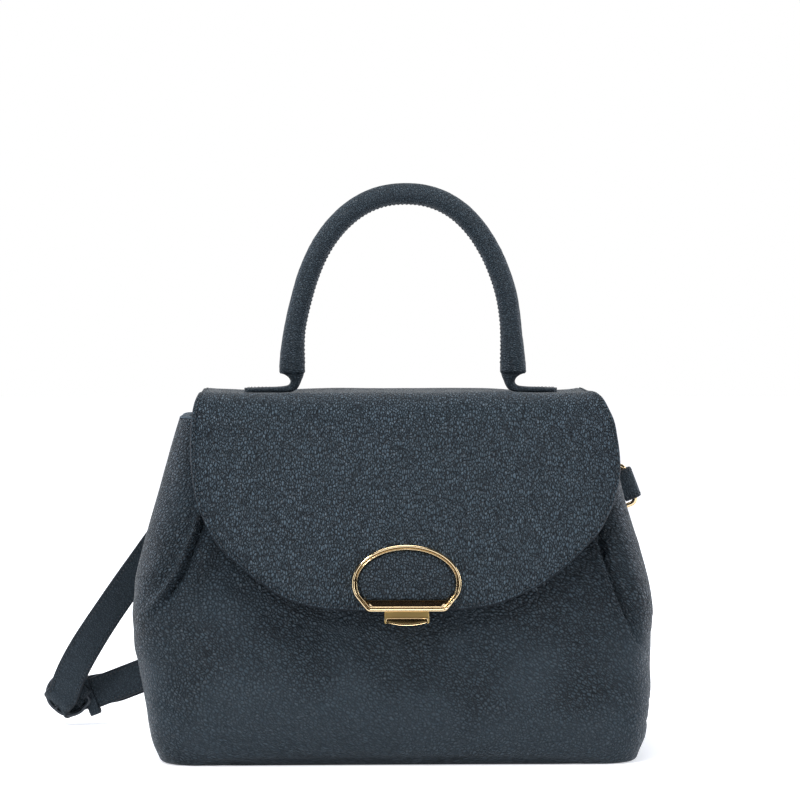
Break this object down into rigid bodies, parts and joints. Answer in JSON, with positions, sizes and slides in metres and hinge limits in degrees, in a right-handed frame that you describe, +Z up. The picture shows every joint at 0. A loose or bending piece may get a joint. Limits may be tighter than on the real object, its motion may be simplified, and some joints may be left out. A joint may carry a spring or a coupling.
{
  "type": "handbag",
  "caption": "Soft leather handbag with a rounded flap, a gold ring clasp, an arched top handle and a buckled shoulder strap.",
  "frame": {"origin": "middle of the flat base, on the floor", "axes": "+Z up, +X to the right of someone who faces the flap, the flap's front faces -Y"},
  "size_m": [0.3664, 0.1743, 0.327],
  "materials": {
    "body_leather": "satin pebbled grain",
    "flap_leather": "satin pebbled grain",
    "handle_leather": "satin pebbled grain",
    "strap_leather": "satin",
    "lining_cloth": "matt",
    "board": "matt",
    "cord_core": "matt",
    "gold_metal": "polished pale gold",
    "dark_metal": "satin dark blue",
    "steel": "brushed"
  },
  "bodies": {
    "root": {"front_panel": "body_leather", "back_panel": "body_leather", "base_panel": "body_leather", "base_board": "board", "lining": "lining_cloth", "slip_pocket": "lining_cloth", "mouth_facing": "body_leather", "flap_seam_strip": "flap_leather", "catch_plate": "gold_metal", "catch_washer_left": "steel", "catch_washer_right": "steel", "ring_tab_left": "strap_leather", "ring_tab_right": "strap_leather", "strap_long": "strap_leather", "strap_short": "strap_leather", "strap_keeper": "strap_leather", "strap_buckle": "dark_metal", "buckle_prong": "dark_metal"},
    "flap": {"flap_outer": "flap_leather", "flap_lining": "flap_leather", "clasp_frame": "gold_metal", "clasp_inlay": "flap_leather", "clasp_backplate": "steel", "clasp_screw_left": "gold_metal", "clasp_screw_right": "gold_metal", "latch_spring": "steel", "handle_tab_left": "handle_leather", "handle_tab_right": "handle_leather"},
    "latch": {"latch_slider": "gold_metal"},
    "handle": {"handle_cover": "handle_leather", "handle_core": "cord_core", "handle_neck_left": "handle_leather", "handle_neck_right": "handle_leather"},
    "ring_left": {"ring_left": "gold_metal", "strap_loop_left": "strap_leather"},
    "ring_right": {"ring_right": "gold_metal", "strap_loop_right": "strap_leather"}
  },
  "joints": [
    {"name": "flap_open", "type": "hinge", "parent": "root", "child": "flap", "pos_m": [0, 0.0469, 0.198], "axis": [-1, 0, 0], "range_deg": [0, 120]},
    {"name": "latch_push", "type": "slide", "parent": "flap", "child": "latch", "axis": [0, 0.1545, 0.988], "range_m": [0, 0.0025], "stiffness_N_per_m": 600, "springref_m": -0.002, "deforming": ["latch_spring"]},
    {"name": "handle_tilt", "type": "hinge", "parent": "flap", "child": "handle", "pos_m": [0, 0.002, 0.2163], "axis": [1, 0, 0], "range_deg": [-35, 35]},
    {"name": "ring_left_swing", "type": "hinge", "parent": "root", "child": "ring_left", "pos_m": [-0.1126, 0.05574, 0.158], "axis": [0.809, 0, -0.5878], "range_deg": [0, 35]},
    {"name": "ring_right_swing", "type": "hinge", "parent": "root", "child": "ring_right", "pos_m": [0.123, 0.0557, 0.144], "axis": [-0.3584, 0, 0.9336], "range_deg": [0, 35]}
  ]
}
